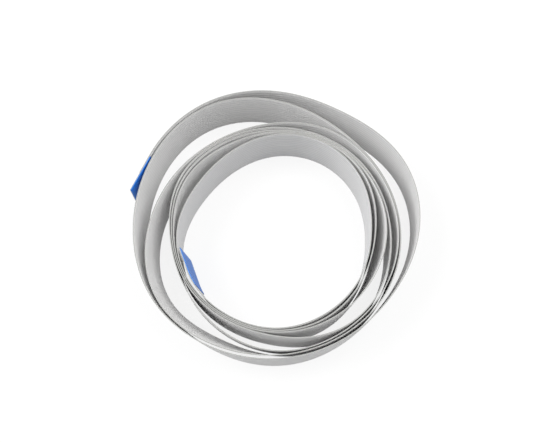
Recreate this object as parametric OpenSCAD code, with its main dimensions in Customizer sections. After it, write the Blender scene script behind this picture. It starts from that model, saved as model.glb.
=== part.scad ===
// Flat flex cable, kept as a loose coil that stands on one long edge of the ribbon.
// Units are millimetres and +Z is up. The origin is under the middle of the coil's box,
// on the surface that it stands on. Clock hours are read from above, with 12 o'clock
// at +Y. From its outer end the ribbon runs clockwise and inwards, its bare contacts
// and its outer film face outwards, and the stiffeners are on the inward side.

/* [Ribbon] */
// Distance from the middle of one conductor to the middle of the next
pitch = 1; // [0.8:0.05:1.5]
// Number of conductors side by side
conductor_count = 12; // [4:1:20]
// Width of one flat conductor
conductor_w = 0.7; // [0.3:0.05:0.75]
// Thickness of one flat conductor
conductor_t = 0.1; // [0.04:0.01:0.15]
// Film beyond the first and the last conductor
edge_margin = 0.65; // [0.3:0.05:2]
// Thickness of each insulating film
film_t = 0.05; // [0.03:0.01:0.12]

/* [Ends] */
// Length of each conductor left bare at each end
strip_length = 4; // [2:0.5:5]
// Length of the stiffener at each end
stiffener_length = 8; // [5:0.5:10]
// Thickness of the stiffener
stiffener_t = 0.12; // [0.08:0.01:0.3]
// Thickness of the adhesive under the stiffener
adhesive_t = 0.03; // [0.02:0.01:0.1]

/* [Coil] */
// Clear width across the innermost turn
core_d = 37; // [32:1:70]
// Air left between turns that lie against each other
turn_gap = 0.1; // [0.05:0.05:1]
// Angle of the coil that one flat facet spans, in degrees
facet_angle = 9; // [5, 6, 8, 9, 10, 12]

/* [Hidden] */
ribbon_w = (conductor_count - 1) * pitch + conductor_w + 2 * edge_margin;
ribbon_t = conductor_t + 2 * film_t;
snug = ribbon_t + turn_gap;

// Each layer's inward and outward face, measured outwards from the ribbon's middle
core_layer = [-conductor_t / 2, conductor_t / 2];
outer_layer = [core_layer[1], core_layer[1] + film_t];
inner_layer = [core_layer[0] - film_t, core_layer[0]];
adhesive_layer = [inner_layer[0] - adhesive_t, inner_layer[0]];
stiffener_layer = [adhesive_layer[0] - stiffener_t, adhesive_layer[0]];

// The route is a smooth curve led by control radii, one at each clock hour. The first of
// them stands at 9 o'clock, before the coil leaves its straight outer end near 10 o'clock.
hour = 30;
first_angle = -3 * hour;
coil_start = -59;
coil_end = 6 * 360 + 245;

// The outer end is straight along its whole stiffener. The inner one bends with the coil
// and is straight only at its tip, to a little past the bared conductors.
inner_straight = strip_length + 0.5;

// The straight tip would run out into the turn around it, by more the longer it is and
// the tighter the coil, so the last two control radii draw the ribbon inwards
tip_bulge = 1.3 - 3.3 * pow(inner_straight, 2) / core_d;

// How far the innermost turn's control radii stand out from the core, from 9 o'clock
// round to 10 o'clock on the next turn
core_bulge = [
    1, -0.9, -0.4, 1.3, 2.1, 1.5, -0.1, 0.6, 0.7, 1.2, 0.7, 0.9, tip_bulge, tip_bulge
];

// Loose room between each turn and the next one in, from 9 o'clock round to 8 o'clock,
// outermost turn first. A zero is where the springy ribbon lies against its neighbour.
loose_room = [
    [0.2, 0.5, 0.2, 1.7, 3, 5.8, 3.5, 0.4, 0.4, 0.4, 0.3, 0],
    [2.5, 5.5, 8.2, 4.9, 0, 0, 0, 0.5, 0.2, 0, 3, 6.7],
    [4.2, 0.3, 0, 0.5, 1.9, 1.1, 1.6, 0.1, 0, 3.3, 1.8, 0],
    [0, 0.4, 0.2, 0.4, 0, 0.2, 0, 2.3, 2.6, 0, 0, 0],
    [0, 0.3, 0.7, 0, 0, 0.1, 2.4, 1.4, 0.2, 0, 0, 0],
    [0, 3, 1.3, 0, 0, 0.9, 0.6, 0, 0.6, 0, 0, 0.1]
];
outer_knots = 12 * len(loose_room);

// A control radius is the innermost turn's own, or is built up from the turn inside it
function knot_radius(n) =
    n >= outer_knots ? core_d / 2 + core_bulge[n - outer_knots]
                     : knot_radius(n + 12) + snug + loose_room[floor(n / 12)][n % 12];
knots = [for (n = [0:outer_knots + len(core_bulge) - 1]) knot_radius(n)];

// Uniform cubic B-spline: it never crosses over where the control radii don't, so
// turns that lie against each other stay one ribbon and one gap apart
function weights(t) = [
    pow(1 - t, 3), 3 * pow(t, 3) - 6 * pow(t, 2) + 4,
    -3 * pow(t, 3) + 3 * pow(t, 2) + 3 * t + 1, pow(t, 3)
] / 6;
function slopes(t) = [
    -pow(1 - t, 2), 3 * pow(t, 2) - 4 * t, -3 * pow(t, 2) + 2 * t + 1, pow(t, 2)
] / 2;
function knot_at(a) = floor((a - first_angle) / hour);
function past_knot(a) = (a - first_angle) / hour - knot_at(a);
function near_radii(a) = [for (k = [-1:2]) knots[knot_at(a) + k]];
function route_radius(a) = weights(past_knot(a)) * near_radii(a);
function route_slope(a) = slopes(past_knot(a)) * near_radii(a) * 180 / PI / hour;
function route_point(a) = route_radius(a) * [sin(a), cos(a)];

// A station is a point on the middle of the ribbon and the outward direction there
function unit(v) = v / norm(v);
function heading(a) =
    unit(route_radius(a) * [cos(a), -sin(a)] + route_slope(a) * [sin(a), cos(a)]);
function outward(h) = [-h[1], h[0]];
function coil_station(a) = [route_point(a), outward(heading(a))];
function tail_station(a, reach) = [route_point(a) + reach * heading(a), outward(heading(a))];

// The coil's stations stand at whole facets, so that the turns' facets lie parallel
coil_stations = [
    for (a = [coil_start:facet_angle:coil_end - facet_angle / 2]) coil_station(a),
    coil_station(coil_end)
];
function outer_end_stations(cut) =
    [tail_station(coil_start, cut - stiffener_length), coil_station(coil_start)];
function ribbon_stations(cut) = concat(
    [outer_end_stations(cut)[0]], coil_stations, [tail_station(coil_end, inner_straight - cut)]
);

// The last part of a run of stations, cut square across the facet where it begins
function last_part(stations, length, i) =
    let (leg = stations[i] - stations[i - 1], leg_length = norm(leg[0]))
    length > leg_length
        ? concat(last_part(stations, length - leg_length, i - 1), [stations[i]])
        : [stations[i] - leg * length / leg_length, stations[i]];
inner_end_stations =
    last_part(ribbon_stations(0), stiffener_length, len(ribbon_stations(0)) - 1);

// Outline of one layer seen from above: out along its outward face and back along the other
function outline(stations, layer) = concat(
    [for (s = stations) s[0] + layer[1] * s[1]],
    [for (i = [len(stations) - 1:-1:0]) stations[i][0] + layer[0] * stations[i][1]]
);

// The coil is moved so that its box is centred on the origin
whole_outline = concat(
    outline(ribbon_stations(0), inner_layer),
    outline(ribbon_stations(strip_length), outer_layer)
);
function middle(values) = (min(values) + max(values)) / 2;
coil_middle = [
    middle([for (p = whole_outline) p[0]]),
    middle([for (p = whole_outline) p[1]])
];

function conductor_name(i) = str("conductor_", i < 10 ? "0" : "", i);

// One layer of the ribbon between two heights, standing on edge
module layer_band(stations, layer, low, height) {
    translate([-coil_middle[0], -coil_middle[1], low])
        linear_extrude(height) polygon(outline(stations, layer));
}

// Full-length polyester film that carries the conductors right to both tips
module inner_film() {
    color("whitesmoke") layer_band(ribbon_stations(0), inner_layer, 0, ribbon_w);
}

// Cover film, cut back at both ends to bare the contacts
module outer_film() {
    color("gainsboro") layer_band(ribbon_stations(strip_length), outer_layer, 0, ribbon_w);
}

// Hot-melt adhesive that seals the two films together along both long edges
module edge_bonds() {
    color("ivory")
        for (low = [0, ribbon_w - edge_margin])
            layer_band(ribbon_stations(strip_length), core_layer, low, edge_margin);
}

// Flat tinned copper conductor, counted up from the edge that the coil stands on
module conductor(i) {
    low = edge_margin + (i - 1) * pitch;
    color("silver") layer_band(ribbon_stations(0), core_layer, low, conductor_w);
}

// Adhesive and blue stiffener on the inward side of an end
module end_adhesive(stations) {
    color("lightyellow") layer_band(stations, adhesive_layer, 0, ribbon_w);
}
module end_stiffener(stations) {
    color("dodgerblue") layer_band(stations, stiffener_layer, 0, ribbon_w);
}

inner_film();
outer_film();
edge_bonds();
for (i = [1:conductor_count])
    conductor(i);
end_adhesive(outer_end_stations(0));  // outer_end_adhesive
end_stiffener(outer_end_stations(0));  // outer_end_stiffener
end_adhesive(inner_end_stations);  // inner_end_adhesive
end_stiffener(inner_end_stations);  // inner_end_stiffener
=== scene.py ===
import math

import bpy
from mathutils import Matrix, Vector


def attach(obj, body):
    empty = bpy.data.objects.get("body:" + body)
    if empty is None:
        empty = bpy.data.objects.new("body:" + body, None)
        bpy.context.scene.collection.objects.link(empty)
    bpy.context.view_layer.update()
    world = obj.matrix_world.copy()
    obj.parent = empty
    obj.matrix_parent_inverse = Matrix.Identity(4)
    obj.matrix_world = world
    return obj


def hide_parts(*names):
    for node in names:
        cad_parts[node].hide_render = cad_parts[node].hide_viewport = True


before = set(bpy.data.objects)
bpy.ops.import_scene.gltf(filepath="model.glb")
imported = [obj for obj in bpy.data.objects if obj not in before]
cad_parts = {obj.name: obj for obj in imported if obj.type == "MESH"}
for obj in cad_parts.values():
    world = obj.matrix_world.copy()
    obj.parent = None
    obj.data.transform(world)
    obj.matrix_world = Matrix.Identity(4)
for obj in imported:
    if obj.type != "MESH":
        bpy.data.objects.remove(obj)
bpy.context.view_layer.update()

bpy.ops.object.select_all(action="DESELECT")

# ---------------------------------------------------------------------------
# Camera. It stands in front of the coil and looks steeply down into it, so the
# back of each turn shows its inward face and the front shows its outward face.
# ---------------------------------------------------------------------------
MM = 0.001
# The view falls at 74 degrees below level
LOOK = Vector((0, 0.2688, -0.9632))
camera_data = bpy.data.cameras.new("camera")
camera_data.lens = 60.87
camera_data.sensor_width = 36
camera_data.clip_start = 0.01
camera_data.clip_end = 10
camera = bpy.data.objects.new("camera", camera_data)
bpy.context.collection.objects.link(camera)
camera.location = Vector((0.053, -49.43, 188.5)) * MM
camera.rotation_mode = "QUATERNION"
camera.rotation_quaternion = LOOK.to_track_quat("-Z", "Y")
bpy.context.scene.camera = camera

# ---------------------------------------------------------------------------
# Conductors: twelve soft copper wires, rolled flat, tin plated and laid side by
# side between the films. Their last few millimetres are the bare contacts. They
# are laid first, so the run of the whole metre of ribbon is worked out here.
# ---------------------------------------------------------------------------
CONDUCTORS = 12
PITCH = 1.0
CONDUCTOR_WIDE = 0.7
CONDUCTOR_THICK = 0.1
HALF_THICK = CONDUCTOR_THICK / 2
EDGE_MARGIN = 0.65
FILM_THICK = 0.05
WIDE = (CONDUCTORS - 1) * PITCH + CONDUCTOR_WIDE + 2 * EDGE_MARGIN
TURN_GAP = 0.1
SNUG = CONDUCTOR_THICK + 2 * FILM_THICK + TURN_GAP

# The ribbon sprang open when its tie came off, in turns that hug and part. Each
# hour is 30 degrees round the coil. The innermost turn's control radii are half
# the core plus its bulges, and each turn outside it adds its loose room.
CORE_WIDE = 37.0
COIL_MIDDLE = Vector((-0.163082, 1.92345, 0))
HOUR = 30
FIRST_HOUR = -90
START = -59
END = 6 * 360 + 245
OUTER_STRAIGHT = 8.0
INNER_STRAIGHT = 4.5
TIP_ROOM = 1.3
TIP_TURN = 3.3
# The longer the straight tip is, the more it turns inwards, clear of the next turn
TIP_BULGE = TIP_ROOM - TIP_TURN * INNER_STRAIGHT**2 / CORE_WIDE
core_bulge = [1, -0.9, -0.4, 1.3, 2.1, 1.5, -0.1, 0.6, 0.7, 1.2, 0.7, 0.9, TIP_BULGE, TIP_BULGE]
loose_room = [
    [0.2, 0.5, 0.2, 1.7, 3, 5.8, 3.5, 0.4, 0.4, 0.4, 0.3, 0],
    [2.5, 5.5, 8.2, 4.9, 0, 0, 0, 0.5, 0.2, 0, 3, 6.5],
    [4.2, 0.3, 0, 0.5, 1.9, 1.1, 1.6, 0.1, 0, 3.3, 1.8, -0.1],
    [0, 0.4, 0.2, 0.4, 0, 0.2, 0, 2.3, 2.6, 0, 0, 0],
    [0, 0.3, 0.7, 0, 0, 0.1, 2.4, 1.4, 0.2, 0, 0, 0],
    [0, 3, 1.3, 0, 0, 0.9, 0.6, 0, 0.6, 0, 0, 0.1],
]
# How far each turn's top edge leans outwards at the same hours, in degrees
lean_rows = [
    [0, 0, 0, 0, 0, 0, 0, 3.6, 1.8, 0, 5, 5.5],
    [5.8, 2, 0, 0, 0, 0, 0, 1.4, 0.4, 6.2, 15.5, 9],
    [3.5, 1.5, 0, 0, 0, 0, 0, 0, 0, 7, 3.6, 0],
    [0, 0, 0, 0, 0, 0, 0, 0, 0, 0, 0, 0],
    [0, 0, 0, 0, 0, 0.2, 8.5, 6, 0.2, 0, 0, 0],
    [0, 0, 0, 0, 0, 0, 0, 0, 0, 0, 0, 0],
    [0, 0, 0, 0, 0, 0, 0, 0, 0, 0, 2, 5, 5.2, 5.2],
]
radii = [CORE_WIDE / 2 + bulge for bulge in core_bulge]
for row in reversed(loose_room):
    radii = [radii[hour] + SNUG + room for hour, room in enumerate(row)] + radii
leans = [lean for row in lean_rows for lean in row]


def smooth(values, angle):
    """Value and slope per hour of the smooth curve through one control value an hour."""
    hour, t = divmod((angle - FIRST_HOUR) / HOUR, 1)
    near = [values[min(int(hour) + i, len(values) - 1)] for i in (-1, 0, 1, 2)]
    weights = ((1 - t) ** 3, 3 * t**3 - 6 * t**2 + 4, -3 * t**3 + 3 * t**2 + 3 * t + 1, t**3)
    slopes = (-((1 - t) ** 2), 3 * t**2 - 4 * t, -3 * t**2 + 2 * t + 1, t**2)
    value = sum(weight * control for weight, control in zip(weights, near)) / 6
    slope = sum(weight * control for weight, control in zip(slopes, near)) / 2
    return value, slope


def stop_at(angle, reach=0.0):
    """The ribbon's lower edge at an angle, and its three directions: up, outward and ahead."""
    radius, slope = smooth(radii, angle)
    spin = Matrix.Rotation(-math.radians(angle), 3, "Z")
    ahead = (spin @ Vector((radius, slope * math.degrees(1) / HOUR, 0))).normalized()
    level_out = Vector((-ahead.y, ahead.x, 0))
    lean = math.radians(smooth(leans, angle)[0])
    up = level_out * math.sin(lean) + Vector((0, 0, math.cos(lean)))
    out = level_out * math.cos(lean) - Vector((0, 0, math.sin(lean)))
    top = spin @ Vector((0, radius, 0)) - COIL_MIDDLE + reach * ahead
    foot = top - level_out * math.sin(lean) * WIDE
    # A leaning ribbon is lifted, so that its lower corner stays off the floor
    foot.z = SNUG / 2 * abs(math.sin(lean))
    return foot, up, out, ahead


# The stops lie 3 degrees apart, and each straight tail has 6 parts
STEP = 3
TAIL_PARTS = 6
run = [stop_at(START, -OUTER_STRAIGHT * part / TAIL_PARTS) for part in range(TAIL_PARTS, 0, -1)]
run += [stop_at(angle) for angle in range(START, END - STEP // 2, STEP)]
run += [stop_at(END, INNER_STRAIGHT * part / TAIL_PARTS) for part in range(TAIL_PARTS + 1)]
# Distance along the ribbon's top edge, in mm, at each stop
marks = [0.0]
for (foot, up, *_), (last_foot, last_up, *_) in zip(run[1:], run):
    marks.append(marks[-1] + (foot + up * WIDE - last_foot - last_up * WIDE).length)
LENGTH = marks[-1]


def stop_after(distance):
    """The ribbon's lower edge and its directions, at a distance along the run."""
    i = max(1, next((n for n, mark in enumerate(marks) if mark >= distance), len(marks) - 1))
    share = (distance - marks[i - 1]) / (marks[i] - marks[i - 1])
    return [here.lerp(there, share) for here, there in zip(run[i - 1], run[i])]


# Places nearer than this count as the same, in mm
TOUCH = 0.01
# Meshes are smooth over any edge that turns less than this
CREASE = math.radians(35)


def sweep(name, start, end, section):
    """A closed strip, its faces outwards: a section of (up, out) points in mm, carried along the
    run between two distances. Its map is in mm: the distance along the ribbon, and the height."""
    between = [(mark, stop) for mark, stop in zip(marks, run) if start + TOUCH < mark < end - TOUCH]
    stops = [(start, stop_after(start)), *between, (end, stop_after(end))]
    sides = len(section)
    points = [
        (foot + up * high + out * deep) * MM
        for _, (foot, up, out, _) in stops
        for high, deep in section
    ]
    faces = [
        (
            i * sides + j,
            i * sides + (j + 1) % sides,
            (i + 1) * sides + (j + 1) % sides,
            (i + 1) * sides + j,
        )
        for i in range(len(stops) - 1)
        for j in range(sides)
    ]
    # A flat cap closes each end
    faces += [tuple(reversed(range(sides))), tuple(range(len(points) - sides, len(points)))]
    mesh = bpy.data.meshes.new(name)
    mesh.from_pydata(points, [], faces)
    ribbon_map = mesh.uv_layers.new(name="ribbon")
    for loop in mesh.loops:
        i, j = divmod(loop.vertex_index, sides)
        ribbon_map.data[loop.index].uv = (stops[i][0], section[j][0])
    piece = bpy.data.objects.new(name, mesh)
    bpy.context.collection.objects.link(piece)
    piece.select_set(True)
    bpy.context.view_layer.objects.active = piece
    bpy.ops.object.shade_smooth_by_angle(angle=CREASE)
    piece.select_set(False)
    return piece


def linear(hex_colour):
    """A linear colour from an sRGB hex value."""
    parts = [int(hex_colour[i : i + 2], 16) / 255 for i in (1, 3, 5)]
    return *[c / 12.92 if c < 0.04 else ((c + 0.055) / 1.055) ** 2.4 for c in parts], 1


def add(material, kind, inputs=(), **settings):
    """Adds a node to a material, with its settings, and its inputs as values or links."""
    made = material.node_tree.nodes.new(kind)
    for setting, value in settings.items():
        setattr(made, setting, value)
    for socket, value in dict(inputs).items():
        if isinstance(value, bpy.types.NodeSocket):
            material.node_tree.links.new(value, made.inputs[socket])
        else:
            made.inputs[socket].default_value = value
    return made


def new_material(name):
    """An empty node material."""
    material = bpy.data.materials.new(name)
    material.use_nodes = True
    material.node_tree.nodes.clear()
    return material


# Tin-plated copper, rolled flat: a soft grey metal with fine streaks along the
# roll, so the contacts gleam in one long broken line each.
tin = new_material("tin_plated_copper")
tin_map = add(tin, "ShaderNodeUVMap", uv_map="ribbon")
# A streak is about 8 mm long and 0.15 mm wide
tin_roll = add(tin, "ShaderNodeMapping", {"Vector": tin_map.outputs[0], "Scale": (0.12, 6.5, 1)})
tin_streaks = add(tin, "ShaderNodeTexNoise", {"Vector": tin_roll.outputs[0], "Scale": 1.0, "Detail": 3.0})
tin_rough = add(
    tin, "ShaderNodeMapRange", {"Value": tin_streaks.outputs["Fac"], "To Min": 0.2, "To Max": 0.42}
)
tin_tone = add(
    tin,
    "ShaderNodeMix",
    {"Factor": tin_streaks.outputs["Fac"], 6: linear("#BDBBB5"), 7: linear("#D9D8D4")},
    data_type="RGBA",
)
tin_bump = add(
    tin, "ShaderNodeBump", {"Height": tin_streaks.outputs["Fac"], "Strength": 0.3, "Distance": 0.004 * MM}
)
tin_shader = add(
    tin,
    "ShaderNodeBsdfPrincipled",
    {
        "Base Color": tin_tone.outputs[2],
        "Roughness": tin_rough.outputs[0],
        "Normal": tin_bump.outputs[0],
        "Metallic": 1.0,
    },
)
add(tin, "ShaderNodeOutputMaterial", {"Surface": tin_shader.outputs[0]})

# Rolling leaves the wire's corners round
CORNER = 0.02
for i in range(CONDUCTORS):
    low = EDGE_MARGIN + i * PITCH
    high = low + CONDUCTOR_WIDE
    wire = sweep(
        f"flat_conductor_{i + 1:02d}",
        0,
        LENGTH,
        [
            (low + CORNER, HALF_THICK),
            (high - CORNER, HALF_THICK),
            (high, HALF_THICK - CORNER),
            (high, CORNER - HALF_THICK),
            (high - CORNER, -HALF_THICK),
            (low + CORNER, -HALF_THICK),
            (low, CORNER - HALF_THICK),
            (low, HALF_THICK - CORNER),
        ],
    )
    wire.data.materials.append(tin)
    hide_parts(f"conductor_{i + 1:02d}")
    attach(wire, "root")

# ---------------------------------------------------------------------------
# Films: two strips of white polyester film, 0.05 mm thick, rolled together hot
# over the conductors, so that each wire stands out as a low flat rib. The outer
# film stops short of both ends, to bare the contacts, and the inner one doesn't.
# ---------------------------------------------------------------------------
STRIPPED = 4.0
# Each rib is flat to RIB_TOP from its wire's middle, and the film between the
# wires lies lower by VALLEY from RIB_FOOT on. The slit edges dip a little.
VALLEY = 0.03
RIB_TOP = 0.36
RIB_FOOT = 0.43
EDGE_DIP = 0.01
MIDDLES = [EDGE_MARGIN + CONDUCTOR_WIDE / 2 + i * PITCH for i in range(CONDUCTORS)]
rib_line = [(0, -EDGE_DIP)]
for middle in MIDDLES:
    rib_line += [(middle - RIB_FOOT, -VALLEY), (middle - RIB_TOP, 0)]
    rib_line += [(middle + RIB_TOP, 0), (middle + RIB_FOOT, -VALLEY)]
rib_line += [(WIDE, -EDGE_DIP)]
film_face = HALF_THICK + FILM_THICK
film_back = HALF_THICK - VALLEY
outer_section = [(up, film_face + out) for up, out in rib_line] + [(WIDE, film_back), (0, film_back)]
inner_section = [(up, -out) for up, out in reversed(outer_section)]

# White polyester film, hot rolled: satin, a little greyer where the wires show
# through, with long faint streaks from the roller and a slow cloudiness.
# Its tones change at these distances in mm: from a wire's middle, where the wire
# stops showing, and from a slit edge, where the sealed band and the painted edge
# shade begin.
WIRE_SHOWS = 0.3
WIRE_HIDDEN = 0.42
BAND_BEGINS = 0.7
BAND_FULL = 0.58
EDGE_SHADE_BEGINS = 0.09
EDGE_SHADE_FULL = 0.02
film = new_material("white_polyester_film")
film_map = add(film, "ShaderNodeUVMap", uv_map="ribbon")
film_place = add(film, "ShaderNodeSeparateXYZ", {0: film_map.outputs[0]})
from_first = add(
    film, "ShaderNodeMath", {0: film_place.outputs["Y"], 1: MIDDLES[0]}, operation="SUBTRACT"
)
wrapped = add(
    film, "ShaderNodeMath", {0: from_first.outputs[0], 1: PITCH / 2, 2: -PITCH / 2}, operation="WRAP"
)
from_wire = add(film, "ShaderNodeMath", {0: wrapped.outputs[0]}, operation="ABSOLUTE")
beside_wire = add(
    film,
    "ShaderNodeMapRange",
    {"Value": from_wire.outputs[0], "From Min": WIRE_SHOWS, "From Max": WIRE_HIDDEN},
    interpolation_type="SMOOTHSTEP",
)
from_middle = add(film, "ShaderNodeMath", {0: film_place.outputs["Y"], 1: WIDE / 2}, operation="SUBTRACT")
up_or_down = add(film, "ShaderNodeMath", {0: from_middle.outputs[0]}, operation="ABSOLUTE")
sealed_edge = add(
    film,
    "ShaderNodeMapRange",
    {
        "Value": up_or_down.outputs[0],
        "From Min": WIDE / 2 - BAND_BEGINS,
        "From Max": WIDE / 2 - BAND_FULL,
    },
    interpolation_type="SMOOTHSTEP",
)
no_wire = add(
    film, "ShaderNodeMath", {0: beside_wire.outputs[0], 1: sealed_edge.outputs[0]}, operation="MAXIMUM"
)
striped = add(
    film,
    "ShaderNodeMix",
    {"Factor": no_wire.outputs[0], 6: linear("#E2E2E2"), 7: linear("#F1F0EF")},
    data_type="RGBA",
)
# A roller streak is about 20 mm long and 0.3 mm wide
film_roll = add(film, "ShaderNodeMapping", {"Vector": film_map.outputs[0], "Scale": (0.05, 3.2, 1)})
film_streaks = add(film, "ShaderNodeTexNoise", {"Vector": film_roll.outputs[0], "Scale": 1.0, "Detail": 4.0})
streak_tone = add(
    film, "ShaderNodeMapRange", {"Value": film_streaks.outputs["Fac"], "To Min": 0.95, "To Max": 1.03}
)
# The cloudiness is about 6 mm across
film_at = add(film, "ShaderNodeTexCoord")
film_clouds = add(
    film, "ShaderNodeTexNoise", {"Vector": film_at.outputs["Object"], "Scale": 1 / (6 * MM), "Detail": 2.0}
)
cloud_tone = add(
    film, "ShaderNodeMapRange", {"Value": film_clouds.outputs["Fac"], "To Min": 0.95, "To Max": 1.04}
)
film_tone = add(
    film, "ShaderNodeMath", {0: streak_tone.outputs[0], 1: cloud_tone.outputs[0]}, operation="MULTIPLY"
)
toned = add(
    film, "ShaderNodeVectorMath", {0: striped.outputs[2], "Scale": film_tone.outputs[0]}, operation="SCALE"
)
# The slit edges are painted grey: painted shade that dulls their lit rims
painted_edge_shade = add(
    film,
    "ShaderNodeMapRange",
    {
        "Value": up_or_down.outputs[0],
        "From Min": WIDE / 2 - EDGE_SHADE_BEGINS,
        "From Max": WIDE / 2 - EDGE_SHADE_FULL,
    },
)
film_colour = add(
    film,
    "ShaderNodeMix",
    {"Factor": painted_edge_shade.outputs[0], 6: toned.outputs[0], 7: linear("#9C9D9B")},
    data_type="RGBA",
)
film_rough = add(
    film, "ShaderNodeMapRange", {"Value": film_streaks.outputs["Fac"], "To Min": 0.28, "To Max": 0.46}
)
film_bump = add(
    film, "ShaderNodeBump", {"Height": film_streaks.outputs["Fac"], "Strength": 0.35, "Distance": 0.01 * MM}
)
film_shader = add(
    film,
    "ShaderNodeBsdfPrincipled",
    {
        "Base Color": film_colour.outputs[2],
        "Roughness": film_rough.outputs[0],
        "Normal": film_bump.outputs[0],
        "IOR": 1.57,
        "Specular IOR Level": 0.22,
    },
)
add(film, "ShaderNodeOutputMaterial", {"Surface": film_shader.outputs[0]})

for name, node, start, end, section in (
    ("outer_film_strip", "outer_film", STRIPPED, LENGTH - STRIPPED, outer_section),
    ("inner_film_strip", "inner_film", 0, LENGTH, inner_section),
):
    strip = sweep(name, start, end, section)
    strip.data.materials.append(film)
    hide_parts(node)
    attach(strip, "root")

# ---------------------------------------------------------------------------
# Sealed edges: outside the first and last wires the two films' hot-melt coats
# flow together into one bead of clear adhesive along each edge of the ribbon.
# ---------------------------------------------------------------------------
# Clear hot melt: milky and slightly uneven, duller than the film
melt = new_material("clear_hot_melt")
melt_at = add(melt, "ShaderNodeTexCoord")
# It is uneven every 2 mm or so
melt_clouds = add(
    melt, "ShaderNodeTexNoise", {"Vector": melt_at.outputs["Object"], "Scale": 1 / (2 * MM), "Detail": 3.0}
)
melt_colour = add(
    melt,
    "ShaderNodeMix",
    {"Factor": melt_clouds.outputs["Fac"], 6: linear("#9C9C98"), 7: linear("#B0AFAA")},
    data_type="RGBA",
)
melt_rough = add(
    melt, "ShaderNodeMapRange", {"Value": melt_clouds.outputs["Fac"], "To Min": 0.4, "To Max": 0.6}
)
melt_bump = add(
    melt, "ShaderNodeBump", {"Height": melt_clouds.outputs["Fac"], "Strength": 0.3, "Distance": 0.01 * MM}
)
melt_shader = add(
    melt,
    "ShaderNodeBsdfPrincipled",
    {
        "Base Color": melt_colour.outputs[2],
        "Roughness": melt_rough.outputs[0],
        "Normal": melt_bump.outputs[0],
        "IOR": 1.5,
    },
)
add(melt, "ShaderNodeOutputMaterial", {"Surface": melt_shader.outputs[0]})

for name, low in (("lower_seal", 0), ("upper_seal", WIDE - EDGE_MARGIN)):
    high = low + EDGE_MARGIN
    bead = sweep(
        name,
        STRIPPED,
        LENGTH - STRIPPED,
        [(low, film_back), (high, film_back), (high, -film_back), (low, -film_back)],
    )
    bead.data.materials.append(melt)
    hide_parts("edge_bonds")
    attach(bead, "root")

# ---------------------------------------------------------------------------
# Stiffeners: a plate of blue polyester on the inward face of each end, cut with
# the ribbon and stuck on with a thin sheet of adhesive. It gives the bare end
# the thickness that its connector needs. The inner one bends with the coil.
# ---------------------------------------------------------------------------
STIFF_LONG = 8.0
STIFF_THICK = 0.12
GLUE_THICK = 0.03
PLATE_PARTS = 10
CUT_CORNER = 0.25
# The cut rounds each edge that turns more than 50 degrees, by 0.01 mm
ROUNDING = 0.01
ROUNDED_FROM = math.radians(50)
# The slit edges are paler for this far in, in mm
PALE_EDGE = 0.12

# Blue polyester sheet: a clear even blue with a soft gloss, faint streaks across
# it from the sheet's own rolling, and paler at the slit edges.
blue = new_material("blue_polyester_sheet")
blue_map = add(blue, "ShaderNodeUVMap", uv_map="ribbon")
# A streak is about 0.4 mm wide and 6 mm long
blue_roll = add(blue, "ShaderNodeMapping", {"Vector": blue_map.outputs[0], "Scale": (2.4, 0.16, 1)})
blue_streaks = add(blue, "ShaderNodeTexNoise", {"Vector": blue_roll.outputs[0], "Scale": 1.0, "Detail": 3.0})
blue_colour = add(
    blue,
    "ShaderNodeMix",
    {"Factor": blue_streaks.outputs["Fac"], 6: linear("#1A6ACC"), 7: linear("#2680E0")},
    data_type="RGBA",
)
blue_place = add(blue, "ShaderNodeSeparateXYZ", {0: blue_map.outputs[0]})
blue_middle = add(blue, "ShaderNodeMath", {0: blue_place.outputs["Y"], 1: WIDE / 2}, operation="SUBTRACT")
blue_height = add(blue, "ShaderNodeMath", {0: blue_middle.outputs[0]}, operation="ABSOLUTE")
blue_edge = add(
    blue,
    "ShaderNodeMapRange",
    {
        "Value": blue_height.outputs[0],
        "From Min": WIDE / 2 - PALE_EDGE,
        "From Max": WIDE / 2,
        "To Max": 0.35,
    },
)
blue_tone = add(
    blue,
    "ShaderNodeMix",
    {"Factor": blue_edge.outputs[0], 6: blue_colour.outputs[2], 7: linear("#6C9CD0")},
    data_type="RGBA",
)
blue_rough = add(
    blue, "ShaderNodeMapRange", {"Value": blue_streaks.outputs["Fac"], "To Min": 0.38, "To Max": 0.52}
)
blue_bump = add(
    blue, "ShaderNodeBump", {"Height": blue_streaks.outputs["Fac"], "Strength": 0.3, "Distance": 0.008 * MM}
)
blue_shader = add(
    blue,
    "ShaderNodeBsdfPrincipled",
    {
        "Base Color": blue_tone.outputs[2],
        "Roughness": blue_rough.outputs[0],
        "Normal": blue_bump.outputs[0],
        "IOR": 1.57,
        "Specular IOR Level": 0.2,
    },
)
add(blue, "ShaderNodeOutputMaterial", {"Surface": blue_shader.outputs[0]})

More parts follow.
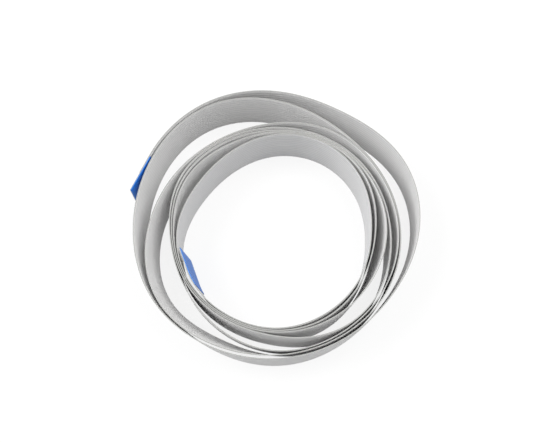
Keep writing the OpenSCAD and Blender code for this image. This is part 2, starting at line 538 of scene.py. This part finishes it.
glue_face = -film_face
plate_face = glue_face - GLUE_THICK
for end, start in (("outer", 0), ("inner", LENGTH - STIFF_LONG)):
    for kind, face, thick, material, slot in (
        ("adhesive", glue_face, GLUE_THICK, melt, "hot_melt_adhesive"),
        ("stiffener", plate_face, STIFF_THICK, blue, "blue_polyester"),
    ):
        bpy.ops.mesh.primitive_grid_add(x_subdivisions=PLATE_PARTS, y_subdivisions=PLATE_PARTS, size=1)
        plate = bpy.context.object
        plate.name = f"{end}_end_{kind}_sheet"
        plate.data.name = plate.name
        bpy.ops.object.mode_set(mode="EDIT")
        bpy.ops.transform.resize(value=(STIFF_LONG * MM, WIDE * MM, 1))
        bpy.ops.mesh.select_all(action="DESELECT")
        bpy.ops.object.mode_set(mode="OBJECT")
        # The shears clip the four corners a little
        for vertex in plate.data.vertices:
            along, across = abs(vertex.co.x) / MM, abs(vertex.co.y) / MM
            vertex.select = along > STIFF_LONG / 2 - TOUCH and across > WIDE / 2 - TOUCH
        bpy.ops.object.mode_set(mode="EDIT")
        bpy.ops.mesh.bevel(offset=CUT_CORNER * MM, offset_type="OFFSET", segments=2, affect="VERTICES")
        bpy.ops.object.mode_set(mode="OBJECT")
        # It is laid on the run, and its map is in mm like the ribbon's
        flat = [(start + STIFF_LONG / 2 + v.co.x / MM, WIDE / 2 + v.co.y / MM) for v in plate.data.vertices]
        plate_map = plate.data.uv_layers.new(name="ribbon")
        for loop in plate.data.loops:
            plate_map.data[loop.index].uv = flat[loop.vertex_index]
        plate.data.uv_layers.remove(plate.data.uv_layers[0])
        for vertex, (distance, high) in zip(plate.data.vertices, flat):
            foot, up, out, _ = stop_after(distance)
            vertex.co = (foot + up * high + out * face) * MM
        shell = plate.modifiers.new("thickness", "SOLIDIFY")
        shell.thickness = thick * MM
        shell.offset = 1
        bpy.ops.object.modifier_apply(modifier=shell.name)
        rounding = plate.modifiers.new("rounding", "BEVEL")
        rounding.width = ROUNDING * MM
        rounding.segments = 2
        rounding.limit_method = "ANGLE"
        rounding.angle_limit = ROUNDED_FROM
        bpy.ops.object.modifier_apply(modifier=rounding.name)
        bpy.ops.object.shade_smooth_by_angle(angle=CREASE)
        plate.select_set(False)
        plate.data.materials.append(material)
        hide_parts(f"{end}_end_{kind}")
        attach(plate, "root")

# ---------------------------------------------------------------------------
# Floor: a large sheet of matt white paper, laid flat. The coil stands on it by
# its ribbon's lower edge.
# ---------------------------------------------------------------------------
# In metres
FLOOR_WIDE = 4
WHITENESS = 0.85
bpy.ops.mesh.primitive_plane_add(size=FLOOR_WIDE, location=(0, 0, 0))
floor = bpy.context.object
floor.name = "floor"
paper = new_material("white_paper")
rays = add(paper, "ShaderNodeLightPath")
# The paper is pale to the eye, and throws only a little light up on the coil
paper_tone = add(
    paper,
    "ShaderNodeMix",
    {"Factor": rays.outputs["Is Camera Ray"], 6: linear("#868686"), 7: linear("#F2F2F2")},
    data_type="RGBA",
)
matt = add(paper, "ShaderNodeBsdfDiffuse", {"Color": paper_tone.outputs[2]})
glow = add(paper, "ShaderNodeEmission", {"Color": linear("#FFFFFF"), "Strength": 1.0})
seen = add(
    paper,
    "ShaderNodeMath",
    {0: rays.outputs["Is Camera Ray"], 1: rays.outputs["Is Glossy Ray"]},
    operation="ADD",
)
seen_through = add(
    paper, "ShaderNodeMath", {0: seen.outputs[0], 1: rays.outputs["Is Transmission Ray"]}, operation="ADD"
)
# A little of the floor's look stays as the lit paper, which holds the coil's shadow
whiteness = add(paper, "ShaderNodeMath", {0: seen_through.outputs[0], 1: WHITENESS}, operation="MULTIPLY")
mixed = add(paper, "ShaderNodeMixShader", {0: whiteness.outputs[0], 1: matt.outputs[0], 2: glow.outputs[0]})
add(paper, "ShaderNodeOutputMaterial", {"Surface": mixed.outputs[0]})
floor.data.materials.append(paper)

# ---------------------------------------------------------------------------
# Light: a white room with two square soft boxes high up, a little behind the
# coil: one on the left, and a weaker one on the right.
# ---------------------------------------------------------------------------
ROOM_LIGHT = 0.6
# In metres
BOX_WIDE = 0.3
world = bpy.data.worlds.new("studio")
bpy.context.scene.world = world
world.use_nodes = True
world.node_tree.nodes["Background"].inputs["Color"].default_value = linear("#FFFFFF")
world.node_tree.nodes["Background"].inputs["Strength"].default_value = ROOM_LIGHT


def lamp(name, place, power):
    """A square soft box that faces the coil, at a place in metres, with its power in watts."""
    data = bpy.data.lights.new(name, "AREA")
    data.size = BOX_WIDE
    data.energy = power
    made = bpy.data.objects.new(name, data)
    bpy.context.collection.objects.link(made)
    made.location = place
    made.rotation_mode = "QUATERNION"
    made.rotation_quaternion = (-Vector(place)).to_track_quat("-Z", "Y")


lamp("softbox_left", (-0.36, 0.06, 0.5), power=2.5)
lamp("softbox_right", (0.22, 0.1, 0.56), power=1.7)

bpy.context.scene.view_settings.view_transform = "Standard"
